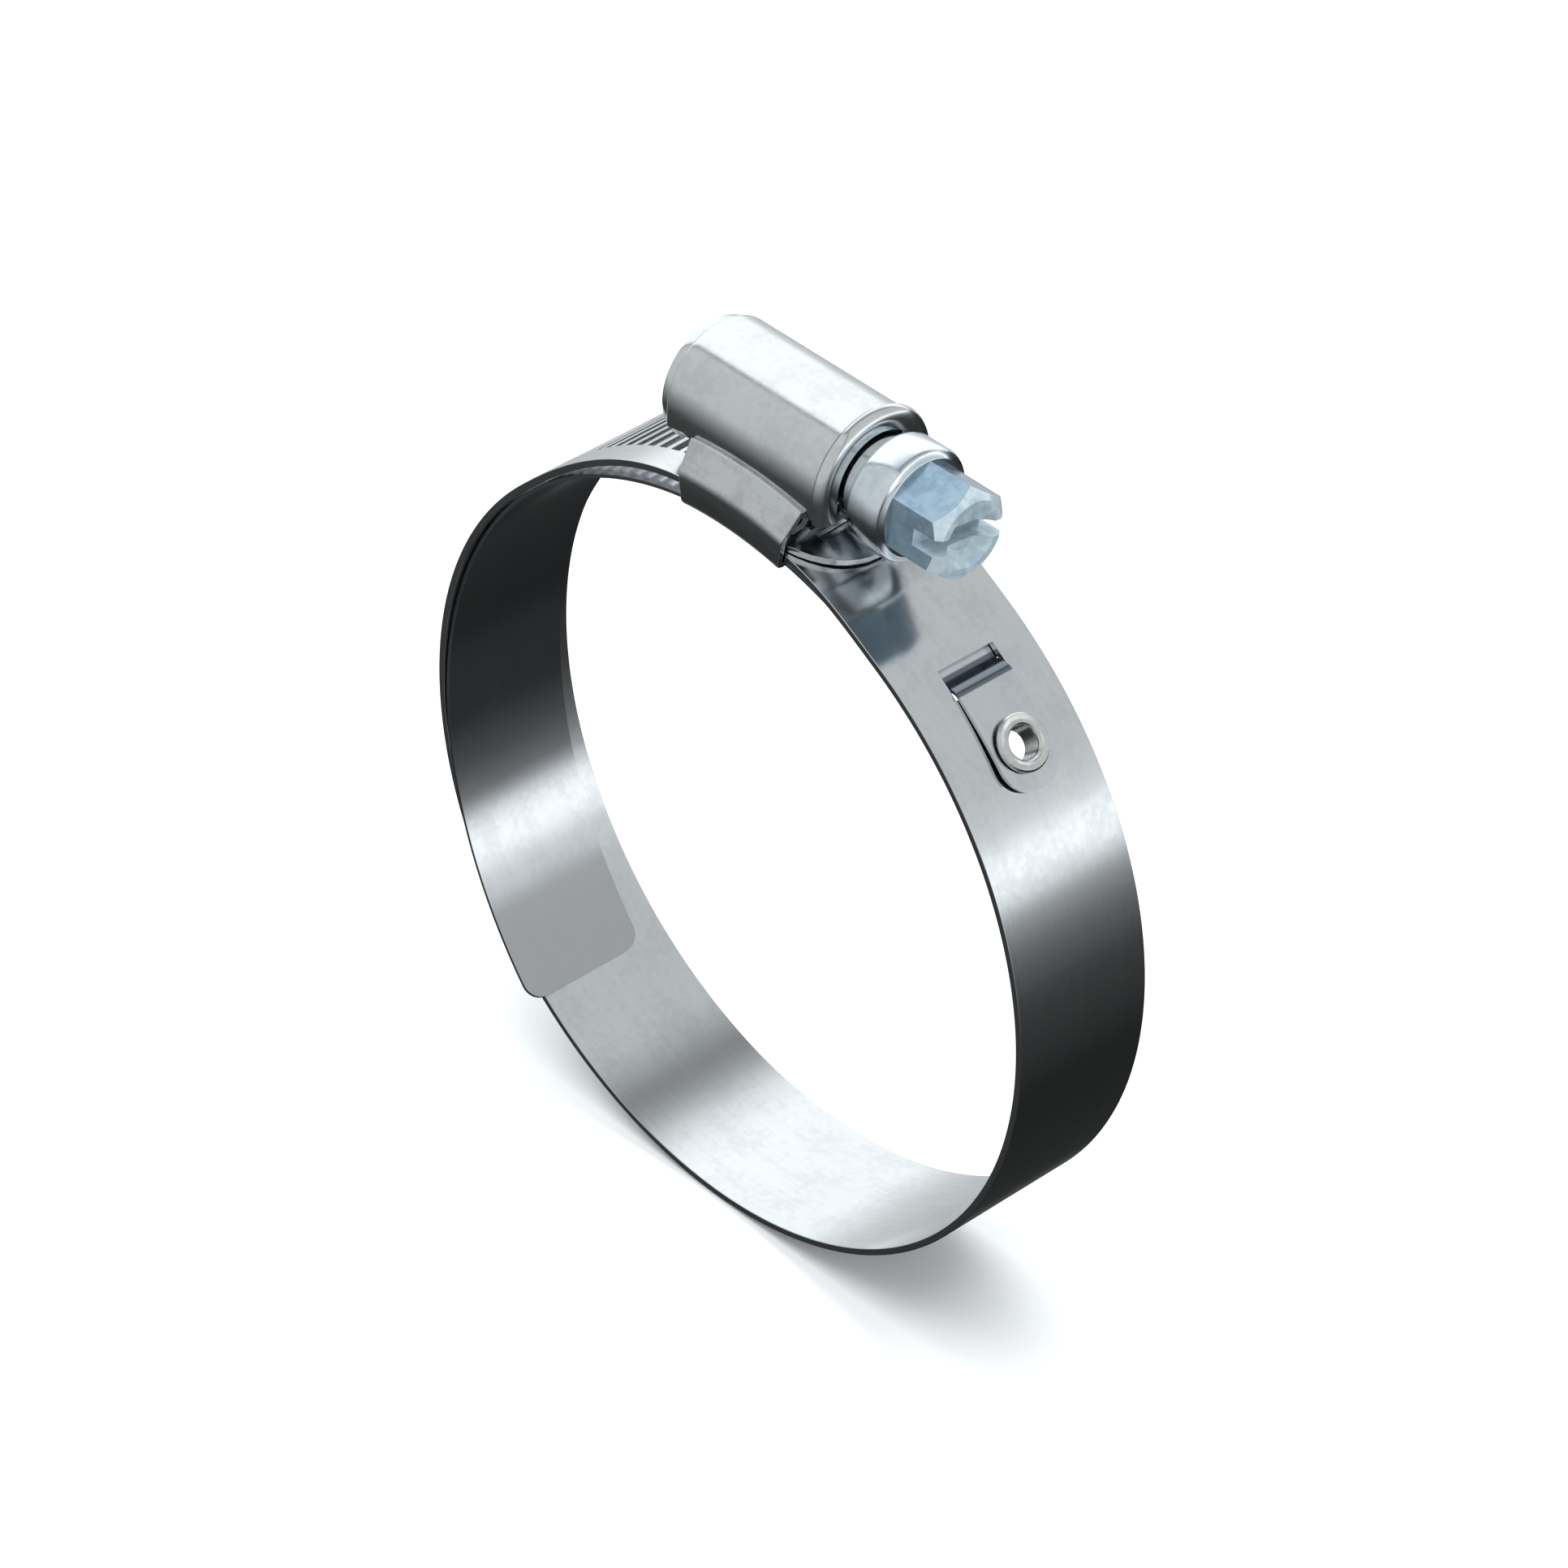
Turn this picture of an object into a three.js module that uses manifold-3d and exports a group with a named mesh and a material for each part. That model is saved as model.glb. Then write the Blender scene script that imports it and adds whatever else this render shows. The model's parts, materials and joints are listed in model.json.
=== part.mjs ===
// Lined worm-drive hose clamp, millimetres, +Z up.
//
// The origin is the centre of the ring, on the hose axis, which lies along Y. The screw housing
// is at the top (+Z) and the screw's head points along +X. Angles round the ring are measured
// from +Z towards +X, in degrees.
import * as THREE from "three";
import { mergeVertices } from "three/addons/utils/BufferGeometryUtils.js";
import Module from "manifold-3d";

const wasm = await Module();
wasm.setup();

// ---- Ring: the liner lies against the hose, the band runs round it ----
const hoseRadius = 35.2;
const bandWidth = 14.3;
const bandThickness = 0.65;
const linerThickness = 0.35;
const linerWidth = 12.9;
const layerGap = 0.1;

// ---- Band: one end is held in the saddle, the slotted end runs through the housing ----
const captiveEndAngle = -5;
const captiveRampEnd = 30;
const rampStart = -44;
const rampEnd = -10;
const splitGap = 0.3;
const tipAngle = 18;
const tipRadius = 6.4;

// ---- Slots that the worm drives, and the worm itself ----
const threadPitch = 1.5875;
const slotWidth = 0.95;
const slotLength = 8;
const firstSlotFromTip = 4;
const slotsInTail = 8;
const lastSlotAngle = -125;
const wormRadius = 4.75;
const wormDepth = 0.5;
const coreDepth = 1.05;
const threadRoot = 0.8;
const threadCrest = 0.3;
const threadRootSink = 0.2;
const threadRearGap = 0.2;

// ---- Liner: tongue through the window, eyelet, free end on the far side ----
const linerEndAngle = -141.2;
const linerEndRadius = 1.8;
const linerSkew = 2.4;
const linerSkewStart = -50;
const linerShoulderAngle = 36.3;
const tongueOverlap = 1;
const windowStart = 34.5;
const windowEnd = 38.9;
const windowClearance = 0.12;
const tongueWidth = 5.9;
const tongueOffset = 0.4;
const tongueStepStart = 35.9;
const tongueStepEnd = 38.7;
const tongueLift = 0.3;
const tongueEndAngle = 53.6;
const tongueEndRadius = 2.6;
const eyeletAngle = 47.5;
const eyeletBore = 1.4;
const eyeletWall = 0.5;
const eyeletRim = 0.6;
const eyeletSheet = 0.4;
const rivetClearance = 0.1;

// ---- Saddle: the channel that joins band, liner side and housing ----
const saddleThickness = 0.65;
const saddleRear = -4.35;
const saddleFront = 7;
const saddleSideGap = 0.15;
const lipToWallGap = 0.25;
const lipRise = 1.2;
const lipSlopeGap = 0.35;

// ---- Housing: the arched cover over the worm ----
const housingRear = -8.4;
const housingFront = 9;
const housingWall = 0.8;
const boreClearance = 0.45;
const strapHeadroom = 0.9;
const flangeThickness = 0.8;
const flangeEndGap = 0.2;
const legEndRise = 1.7;
const legEndGap = 0.6;
const legEndReach = 12;
const beadGroove = 0.35;
const beadThickness = 0.95;
const beadProud = 0.3;
const grooveDepth = 0.3;
const bossRadius = 5.6;
const bossLength = 1.2;
const bossEdge = 0.5;

// ---- Screw: shank, collar and hex head ----
const axialPlay = 0.3;
const shankChamfer = 0.6;
const neckRadius = 4.1;
const neckClearance = 0.35;
const headGap = 1.4;
const collarRadius = 5.1;
const collarThickness = 3.7;
const collarCone = 0.3;
const collarEdge = 0.4;
const hexAcrossFlats = 7.6;
const hexLength = 5.4;
const hexAngle = -7;
const hexChamfer = 1.05;
const hexChamferSlope = 1.1;
const driverSlotWidth = 1.5;
const driverSlotDepth = 2.8;
const driverSlotAngle = -7;
const dishRadius = 2.7;
const dishDepth = 1.1;

// ---- Facets, and how far a cutter runs past what it cuts ----
const ringStep = 3;
const tongueStep = 0.8;
const roundSegments = 48;
const holeSegments = 24;
const archSegments = 16;
const cornerSegments = 8;
const threadStepsPerTurn = 24;
const cutHeight = 4;
const cutMargin = 1;
const mergeTolerance = 1e-5;

// ---- Places that follow from the sizes above ----
const linerOuter = hoseRadius + linerThickness;
const bandInner = linerOuter + layerGap;
const bandOuter = bandInner + bandThickness;
const saddleInner = bandInner;
const saddleStart = THREE.MathUtils.radToDeg(Math.asin(saddleRear / saddleInner));
const saddleEnd = THREE.MathUtils.radToDeg(Math.asin(saddleFront / saddleInner));
const captiveInner = saddleInner + saddleThickness + layerGap;
const tailInner = captiveInner + bandThickness + layerGap;
const tailOuter = tailInner + bandThickness;
const flangeInner = tailOuter + strapHeadroom;
const flangeOuter = flangeInner + flangeThickness;
const legEndRadius = flangeOuter + legEndRise;
const lipInner = flangeOuter + layerGap;
const lipOuter = lipInner + saddleThickness;
const saddleHalfInner = bandWidth / 2 + saddleSideGap;
const saddleHalfOuter = saddleHalfInner + saddleThickness;
const coreRadius = wormRadius - coreDepth;
const screwAxisHeight = tailOuter - wormDepth + wormRadius;
const boreRadius = wormRadius + boreClearance;
const housingRadius = boreRadius + housingWall;
const beadEnd = housingFront + beadGroove + beadThickness;
const collarStart = beadEnd + headGap;
const hexStart = collarStart + collarThickness + collarCone;
const hexEnd = hexStart + hexLength;
const hexCorner = hexAcrossFlats / Math.sqrt(3);
const pitchRadius = tailOuter - wormDepth / 2;
const tongueInner = bandOuter + layerGap;
const tongueOuter = tongueInner + linerThickness;

const radians = THREE.MathUtils.degToRad;
const arcAngle = (length) => THREE.MathUtils.radToDeg(length / pitchRadius);
const pitchAngle = arcAngle(threadPitch);
const firstSlotAngle = tipAngle - arcAngle(firstSlotFromTip);
const splitAngle = firstSlotAngle - (slotsInTail - 0.5) * pitchAngle;
const loopEndAngle = splitAngle - arcAngle(splitGap);

// ---- Solids: closed meshes that can be joined and cut ----
function solidOf(geometry) {
  const bare = geometry.index ? geometry.toNonIndexed() : geometry.clone();
  bare.deleteAttribute("normal");
  bare.deleteAttribute("uv");
  const merged = mergeVertices(bare, mergeTolerance);
  const mesh = new wasm.Mesh({
    numProp: 3,
    vertProperties: new Float32Array(merged.attributes.position.array),
    triVerts: new Uint32Array(merged.index.array),
  });
  return new wasm.Manifold(mesh);
}

function geometryOf(solid) {
  const mesh = solid.getMesh();
  const geometry = new THREE.BufferGeometry();
  geometry.setAttribute("position", new THREE.BufferAttribute(mesh.vertProperties, 3));
  geometry.setIndex(new THREE.BufferAttribute(mesh.triVerts, 1));
  geometry.computeVertexNormals();
  return geometry;
}

function steelMesh(name, solid, color, roughness) {
  const material = new THREE.MeshStandardMaterial({ color, roughness, metalness: 1 });
  const mesh = new THREE.Mesh(geometryOf(solid), material);
  mesh.name = name;
  return mesh;
}

// A side view drawn in X and Z, given a width along Y.
function extrudeAcross(shape, width) {
  const geometry = new THREE.ExtrudeGeometry(shape, { depth: width, bevelEnabled: false });
  geometry.rotateX(Math.PI / 2);
  geometry.translate(0, width / 2, 0);
  return geometry;
}

// An end view drawn in Y and Z, given a length along X.
function extrudeAlong(shape, start, end) {
  const geometry = new THREE.ExtrudeGeometry(shape, {
    depth: end - start,
    bevelEnabled: false,
    curveSegments: archSegments,
  });
  const turn = new THREE.Matrix4().makeBasis(
    new THREE.Vector3(0, 1, 0),
    new THREE.Vector3(0, 0, 1),
    new THREE.Vector3(1, 0, 0),
  );
  geometry.applyMatrix4(turn);
  geometry.translate(start, 0, 0);
  return geometry;
}

// Places a shape made at the origin, radial along Z, on the ring at an angle and a radius.
function placeOnRing(geometry, angle, radius) {
  geometry.translate(0, 0, radius);
  geometry.rotateY(radians(angle));
  return geometry;
}

// A strip of sheet bent round the hose axis; its inner radius may change with the angle.
function bentStrip(start, end, innerRadius, thickness, width, step = ringStep) {
  const steps = Math.max(1, Math.ceil((end - start) / step));
  const inside = [];
  const outside = [];
  for (let i = 0; i <= steps; i += 1) {
    const angle = start + ((end - start) * i) / steps;
    const inner = innerRadius(angle);
    const x = Math.sin(radians(angle));
    const z = Math.cos(radians(angle));
    inside.push(new THREE.Vector2(inner * x, inner * z));
    outside.push(new THREE.Vector2((inner + thickness) * x, (inner + thickness) * z));
  }
  const shape = new THREE.Shape([...inside, ...outside.reverse()]);
  return extrudeAcross(shape, width);
}

// A closed outline in Y and radius, swept round the hose axis from one angle to another.
function sweptOutline(outline, start, end) {
  const steps = Math.max(1, Math.ceil((end - start) / ringStep));
  const count = outline.length;
  const positions = [];
  for (let i = 0; i <= steps; i += 1) {
    const angle = radians(start + ((end - start) * i) / steps);
    for (const [y, radius] of outline) {
      positions.push(radius * Math.sin(angle), y, radius * Math.cos(angle));
    }
  }
  const index = [];
  for (let i = 0; i < steps; i += 1) {
    for (let j = 0; j < count; j += 1) {
      const near = i * count + j;
      const next = i * count + ((j + 1) % count);
      index.push(near, next, near + count, next, next + count, near + count);
    }
  }
  const corners = outline.map(([y, radius]) => new THREE.Vector2(y, radius));
  for (const [a, b, c] of THREE.ShapeUtils.triangulateShape(corners, [])) {
    index.push(a, c, b);
    index.push(steps * count + a, steps * count + b, steps * count + c);
  }
  const geometry = new THREE.BufferGeometry();
  geometry.setAttribute("position", new THREE.Float32BufferAttribute(positions, 3));
  geometry.setIndex(index);
  return geometry;
}

// A cutter that leaves a strip's end with two rounded corners.
// The end is at x = 0, and the strip runs towards -x * side.
function roundEndCutter(width, radius, side, depth) {
  const half = width / 2;
  const shape = new THREE.Shape();
  shape.moveTo(-radius, -half - cutMargin);
  shape.lineTo(cutMargin, -half - cutMargin);
  shape.lineTo(cutMargin, half + cutMargin);
  shape.lineTo(-radius, half + cutMargin);
  shape.lineTo(-radius, half);
  shape.absarc(-radius, half - radius, radius, Math.PI / 2, 0, true);
  shape.absarc(-radius, radius - half, radius, 0, -Math.PI / 2, true);
  const geometry = new THREE.ExtrudeGeometry(shape, {
    depth,
    bevelEnabled: false,
    curveSegments: cornerSegments,
  });
  geometry.translate(0, 0, -depth / 2);
  if (side < 0) {
    geometry.rotateZ(Math.PI);
  }
  return geometry;
}

// The hole that the eyelet's tube passes through, at a radius of the ring.
function eyeletHole(radius) {
  const hole = eyeletBore + eyeletWall + rivetClearance;
  const geometry = new THREE.CylinderGeometry(hole, hole, cutHeight, holeSegments);
  geometry.rotateX(Math.PI / 2);
  geometry.translate(0, tongueOffset, 0);
  return solidOf(placeOnRing(geometry, eyeletAngle, radius));
}

// A turned shape along X, from pairs of radius and place.
function turned(profile, segments) {
  const points = profile.map(([radius, x]) => new THREE.Vector2(radius, x));
  const geometry = new THREE.LatheGeometry(points, segments);
  geometry.rotateZ(-Math.PI / 2);
  return geometry;
}

const smooth = (from, to, value) => THREE.MathUtils.smoothstep(value, from, to);

// ---- Band ----
// Inner radius of the band, from its held end round the ring to the ramp into the housing.
function bandPath(angle) {
  if (angle < captiveRampEnd) {
    const drop = smooth(saddleEnd, captiveRampEnd, angle);
    return captiveInner + (bandInner - captiveInner) * drop;
  }
  return bandInner + (tailInner - bandInner) * smooth(rampStart, rampEnd, angle - 360);
}

// The slots sit at whole pitches from the first one, so that loop and tail share one row.
const slotAngle = (number) => firstSlotAngle - number * pitchAngle;

function cutSlots(strip, firstNumber, count, radiusAt) {
  const slant = Math.atan(threadPitch / (2 * Math.PI * wormRadius));
  let solid = strip;
  for (let i = firstNumber; i < firstNumber + count; i += 1) {
    const cutter = new THREE.BoxGeometry(slotWidth, slotLength, cutHeight);
    cutter.rotateZ(-slant);
    placeOnRing(cutter, slotAngle(i), radiusAt(slotAngle(i)));
    solid = solid.subtract(solidOf(cutter));
  }
  return solid;
}

function bandLoop() {
  const end = 360 + loopEndAngle;
  const strip = bentStrip(captiveEndAngle, end, bandPath, bandThickness, bandWidth);
  const firstNumber = slotsInTail + 1;
  const slotCount = Math.floor((slotAngle(firstNumber) - lastSlotAngle) / pitchAngle);
  const slotted = cutSlots(solidOf(strip), firstNumber, slotCount, (angle) =>
    bandPath(angle + 360),
  );
  const windowAngle = (windowStart + windowEnd) / 2;
  const windowLength = 2 * bandOuter * Math.tan(radians(windowEnd - windowStart) / 2);
  const windowWidth = tongueWidth + 2 * windowClearance;
  const window = new THREE.BoxGeometry(windowLength, windowWidth, cutHeight);
  window.translate(0, tongueOffset, 0);
  placeOnRing(window, windowAngle, bandInner);
  return slotted.subtract(solidOf(window)).subtract(eyeletHole(bandInner));
}

function bandTail() {
  const strip = bentStrip(splitAngle, tipAngle, () => tailInner, bandThickness, bandWidth);
  const slotted = cutSlots(solidOf(strip), 0, slotsInTail, () => tailInner);
  const cutter = roundEndCutter(bandWidth, tipRadius, 1, cutHeight);
  placeOnRing(cutter, tipAngle, tailOuter);
  return slotted.subtract(solidOf(cutter));
}

// ---- Liner ----
// Inner radius of the liner's tongue, which steps out through the window and springs up a little
// towards its tip.
function tonguePath(angle) {
  const step = smooth(tongueStepStart, tongueStepEnd, angle);
  const lift = tongueLift * smooth(tongueStepEnd, tongueEndAngle, angle);
  return hoseRadius + (tongueInner - hoseRadius) * step + lift;
}

// The free end has crept sideways, which leaves a strip of the band uncovered behind it.
function skewLiner(geometry) {
  const position = geometry.attributes.position;
  for (let i = 0; i < position.count; i += 1) {
    const angle = THREE.MathUtils.radToDeg(Math.atan2(position.getX(i), position.getZ(i)));
    const share = Math.max(0, (angle - linerSkewStart) / (linerEndAngle - linerSkewStart));
    position.setY(i, position.getY(i) - linerSkew * share * share);
  }
  return geometry;
}

function liner() {
  const main = bentStrip(
    linerEndAngle,
    linerShoulderAngle,
    () => hoseRadius,
    linerThickness,
    linerWidth,
  );
  const endCutter = roundEndCutter(linerWidth, linerEndRadius, -1, cutHeight);
  endCutter.translate(0, -linerSkew, 0);
  placeOnRing(endCutter, linerEndAngle, hoseRadius);
  const tongue = bentStrip(
    linerShoulderAngle - tongueOverlap,
    tongueEndAngle,
    tonguePath,
    linerThickness,
    tongueWidth,
    tongueStep,
  ).translate(0, tongueOffset, 0);
  const tongueCutter = roundEndCutter(tongueWidth, tongueEndRadius, 1, cutHeight);
  tongueCutter.translate(0, tongueOffset, 0);
  placeOnRing(tongueCutter, tongueEndAngle, tongueInner);
  return solidOf(skewLiner(main))
    .subtract(solidOf(endCutter))
    .add(solidOf(tongue))
    .subtract(solidOf(tongueCutter))
    .subtract(eyeletHole(tongueInner));
}

// ---- Eyelet: a tube through band and tongue, spread flat on both sides ----
function eyelet() {
  const tube = eyeletBore + eyeletWall;
  const rim = tube + eyeletRim;
  const bottom = bandInner - layerGap - eyeletSheet;
  const top = tongueOuter + tongueLift + layerGap + eyeletSheet;
  const profile = [
    [eyeletBore, bottom],
    [rim, bottom],
    [rim, bottom + eyeletSheet],
    [tube, bottom + eyeletSheet],
    [tube, top - eyeletSheet],
    [rim, top - eyeletSheet],
    [rim, top - eyeletSheet / 2],
    [rim - eyeletSheet / 2, top],
    [eyeletBore, top],
    [eyeletBore, bottom],
  ].map(([radius, height]) => new THREE.Vector2(radius, height));
  const ring = new THREE.LatheGeometry(profile, holeSegments);
  ring.rotateX(Math.PI / 2);
  ring.translate(0, tongueOffset, 0);
  return solidOf(placeOnRing(ring, eyeletAngle, 0));
}

// ---- Saddle ----
// A channel: base under the band, upright sides, and lips that lean in over the housing's feet.
function saddle() {
  const tip = housingRadius + lipToWallGap;
  const side = [
    [saddleHalfOuter, saddleInner],
    [saddleHalfOuter, lipOuter],
    [tip, lipOuter + lipRise],
    [tip, lipOuter + lipRise - saddleThickness],
    [saddleHalfInner, lipOuter - lipSlopeGap],
    [saddleHalfInner, saddleInner + saddleThickness],
  ];
  const otherSide = side.map(([y, radius]) => [-y, radius]).reverse();
  return solidOf(sweptOutline([...side, ...otherSide], saddleStart, saddleEnd));
}

// ---- Housing ----
// The end view of the cover: a round top on straight legs, down past the strap.
function archShape(radius) {
  const shape = new THREE.Shape();
  shape.moveTo(radius, hoseRadius);
  shape.lineTo(radius, screwAxisHeight);
  shape.absarc(0, screwAxisHeight, radius, 0, Math.PI, false);
  shape.lineTo(-radius, hoseRadius);
  return shape;
}

function arch(radius, start, end) {
  return solidOf(extrudeAlong(archShape(radius), start, end));
}

// Room for the strap under the end of each leg, beyond the saddle.
function legEndCut(start, end) {
  return solidOf(bentStrip(start, end, () => hoseRadius, legEndRadius - hoseRadius, 2 * bandWidth));
}

// A round boss behind the rear wall, formed where the screw's end bears on it.
function rearBoss() {
  const boss = turned(
    [
      [0, housingRear - bossLength],
      [bossRadius - bossEdge, housingRear - bossLength],
      [bossRadius, housingRear - bossLength + bossEdge],
      [bossRadius, housingRear + housingWall / 2],
      [0, housingRear + housingWall / 2],
    ],
    roundSegments,
  );
  boss.translate(0, 0, screwAxisHeight);
  return solidOf(boss);
}

function housing() {
  const flange = bentStrip(
    saddleStart + flangeEndGap,
    saddleEnd - flangeEndGap,
    () => flangeInner,
    flangeThickness,
    bandWidth,
  );
  const neckRoom = neckRadius + neckClearance;
  const strapRoom = new THREE.CylinderGeometry(flangeInner, flangeInner, 2 * bandWidth, 360 / ringStep);
  return arch(housingRadius, housingRear, housingFront)
    .add(solidOf(flange))
    .add(rearBoss())
    .add(arch(housingRadius - grooveDepth, housingFront - housingWall, beadEnd))
    .add(arch(housingRadius + beadProud, beadEnd - beadThickness, beadEnd))
    .subtract(arch(boreRadius, housingRear + housingWall, housingFront - housingWall))
    .subtract(arch(neckRoom, housingFront - housingWall - cutMargin, beadEnd + cutMargin))
    .subtract(solidOf(strapRoom))
    .subtract(legEndCut(saddleStart - legEndReach, saddleStart - legEndGap))
    .subtract(legEndCut(saddleEnd + legEndGap, saddleEnd + legEndReach));
}

// ---- Screw ----
// The worm's thread: a right-hand ridge, swept turn by turn round the X axis.
function wormThread(start, end) {
  const turns = (end - start) / threadPitch;
  const steps = Math.round(turns * threadStepsPerTurn);
  const rootRadius = coreRadius - threadRootSink;
  const section = [
    [-threadRoot / 2, rootRadius],
    [-threadCrest / 2, wormRadius],
    [threadCrest / 2, wormRadius],
    [threadRoot / 2, rootRadius],
  ];
  const count = section.length;
  const positions = [];
  for (let i = 0; i <= steps; i += 1) {
    const turn = (i / threadStepsPerTurn) * 2 * Math.PI;
    const x = start + (i / threadStepsPerTurn) * threadPitch;
    for (const [offset, radius] of section) {
      positions.push(x + offset, radius * Math.cos(turn), radius * Math.sin(turn));
    }
  }
  const index = [];
  for (let i = 0; i < steps; i += 1) {
    for (let j = 0; j < count; j += 1) {
      const a = i * count + j;
      const b = i * count + ((j + 1) % count);
      index.push(a, a + count, b, b, a + count, b + count);
    }
  }
  const last = steps * count;
  index.push(0, 1, 2, 0, 2, 3);
  index.push(last, last + 2, last + 1, last, last + 3, last + 2);
  const geometry = new THREE.BufferGeometry();
  geometry.setAttribute("position", new THREE.Float32BufferAttribute(positions, 3));
  geometry.setIndex(index);
  return geometry;
}

// The hexagon rises from the collar; a turned cone takes off the corners of its end.
function hexHead() {
  const length = hexLength + collarCone;
  const prism = new THREE.CylinderGeometry(hexCorner, hexCorner, length, 6);
  prism.rotateZ(-Math.PI / 2);
  prism.rotateX(radians(hexAngle));
  prism.translate(hexEnd - length / 2, 0, 0);
  const chamfer = turned(
    [
      [0, hexEnd - length],
      [hexCorner + cutMargin, hexEnd - length],
      [hexCorner + cutMargin, hexEnd - (hexChamfer + cutMargin) / hexChamferSlope],
      [hexCorner - hexChamfer, hexEnd],
      [0, hexEnd],
    ],
    roundSegments,
  );
  const dish = turned(
    [
      [0, hexEnd - dishDepth],
      [dishRadius - dishDepth, hexEnd - dishDepth],
      [dishRadius, hexEnd],
      [dishRadius, hexEnd + cutMargin],
      [0, hexEnd + cutMargin],
    ],
    holeSegments,
  );
  const slot = new THREE.BoxGeometry(2 * driverSlotDepth, 2 * hexAcrossFlats, driverSlotWidth);
  slot.rotateX(radians(driverSlotAngle));
  slot.translate(hexEnd, 0, 0);
  return solidOf(prism)
    .intersect(solidOf(chamfer))
    .subtract(solidOf(dish))
    .subtract(solidOf(slot));
}

function screw() {
  const rearEnd = housingRear + housingWall + axialPlay;
  const wormEnd = housingFront - housingWall - axialPlay;
  const shank = turned(
    [
      [0, rearEnd],
      [coreRadius - shankChamfer, rearEnd],
      [coreRadius, rearEnd + shankChamfer],
      [coreRadius, wormEnd],
      [neckRadius, wormEnd],
      [neckRadius, collarStart],
      [collarRadius - collarEdge, collarStart],
      [collarRadius, collarStart + collarEdge],
      [collarRadius, collarStart + collarThickness - collarEdge],
      [collarRadius - collarEdge, collarStart + collarThickness],
      [hexCorner, hexStart],
      [0, hexStart],
    ],
    roundSegments,
  );
  // The thread is timed so that its crests stand in the middle of the slots below, and it starts
  // ahead of the loop's end, so that it turns in the driven end alone.
  const topSlot = Math.round(firstSlotAngle / pitchAngle);
  const slotPlace = pitchRadius * Math.sin(radians(slotAngle(topSlot)));
  const quarterTurn = threadPitch / 4;
  const loopEnd = tailOuter * Math.sin(radians(loopEndAngle));
  const threadRear = Math.max(rearEnd, loopEnd) + threadRearGap + threadRoot / 2;
  const wholeTurns = Math.floor((slotPlace - threadRear) / threadPitch);
  const threadStart = slotPlace - wholeTurns * threadPitch + quarterTurn;
  const threadTurns = Math.floor((wormEnd - threadRoot / 2 - threadStart) / threadPitch);
  const thread = wormThread(threadStart, threadStart + threadTurns * threadPitch);
  return solidOf(shank).add(solidOf(thread)).add(hexHead());
}

function screwMesh() {
  const mesh = steelMesh("screw", screw(), 0xc3ccd4, 0.24);
  mesh.position.set(0, 0, screwAxisHeight);
  return mesh;
}

const clamp = new THREE.Group();
clamp.add(
  steelMesh("band", bandLoop(), 0xb7babd, 0.26),
  steelMesh("band_tail", bandTail(), 0xb2b5b8, 0.28),
  steelMesh("liner", liner(), 0xa9acb0, 0.24),
  steelMesh("eyelet", eyelet(), 0xb4b6b6, 0.3),
  steelMesh("saddle", saddle(), 0xa4a6a8, 0.3),
  steelMesh("housing", housing(), 0xc2c4c4, 0.34),
  screwMesh(),
);

export default clamp;
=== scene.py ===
"""A lined worm-drive hose clamp in stainless steel, with a zinc-plated screw, on a pale floor."""

import json
from math import atan, cos, degrees, floor, pi, radians, sin, sqrt, tan

import bmesh
import bpy
from mathutils import Matrix, Vector


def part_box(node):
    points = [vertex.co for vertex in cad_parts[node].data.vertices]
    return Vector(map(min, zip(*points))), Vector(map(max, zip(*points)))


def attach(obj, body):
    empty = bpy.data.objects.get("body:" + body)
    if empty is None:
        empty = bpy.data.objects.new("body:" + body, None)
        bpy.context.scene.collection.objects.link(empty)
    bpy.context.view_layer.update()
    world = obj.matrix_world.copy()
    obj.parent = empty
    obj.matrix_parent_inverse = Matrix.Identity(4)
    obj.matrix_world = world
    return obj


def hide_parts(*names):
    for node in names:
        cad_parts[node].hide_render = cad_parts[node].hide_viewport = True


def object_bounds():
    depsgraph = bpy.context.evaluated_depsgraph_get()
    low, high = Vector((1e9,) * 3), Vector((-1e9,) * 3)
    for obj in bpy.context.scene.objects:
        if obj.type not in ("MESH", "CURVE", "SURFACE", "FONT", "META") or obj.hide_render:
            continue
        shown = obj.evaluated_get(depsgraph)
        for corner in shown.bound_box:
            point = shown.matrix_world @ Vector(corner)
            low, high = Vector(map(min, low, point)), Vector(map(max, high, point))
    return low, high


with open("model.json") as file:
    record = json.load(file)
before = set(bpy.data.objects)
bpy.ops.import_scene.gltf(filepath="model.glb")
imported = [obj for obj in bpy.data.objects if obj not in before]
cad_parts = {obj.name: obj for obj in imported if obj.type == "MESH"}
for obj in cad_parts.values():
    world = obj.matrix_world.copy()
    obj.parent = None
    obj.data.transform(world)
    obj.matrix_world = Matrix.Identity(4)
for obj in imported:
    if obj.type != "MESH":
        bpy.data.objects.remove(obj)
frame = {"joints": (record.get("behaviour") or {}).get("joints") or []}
cad_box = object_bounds()

# ---- Camera ----
# It looks down on the clamp from the screw's side, far enough back for a mild perspective.
camera_bearing = radians(46.4)
camera_height = radians(37.63)
camera_roll = radians(1.3)
camera_distance = 0.5648
camera_aside = Vector((0.00024, 0.0042))
camera_lens = 152.9
camera_near = 0.01

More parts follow.
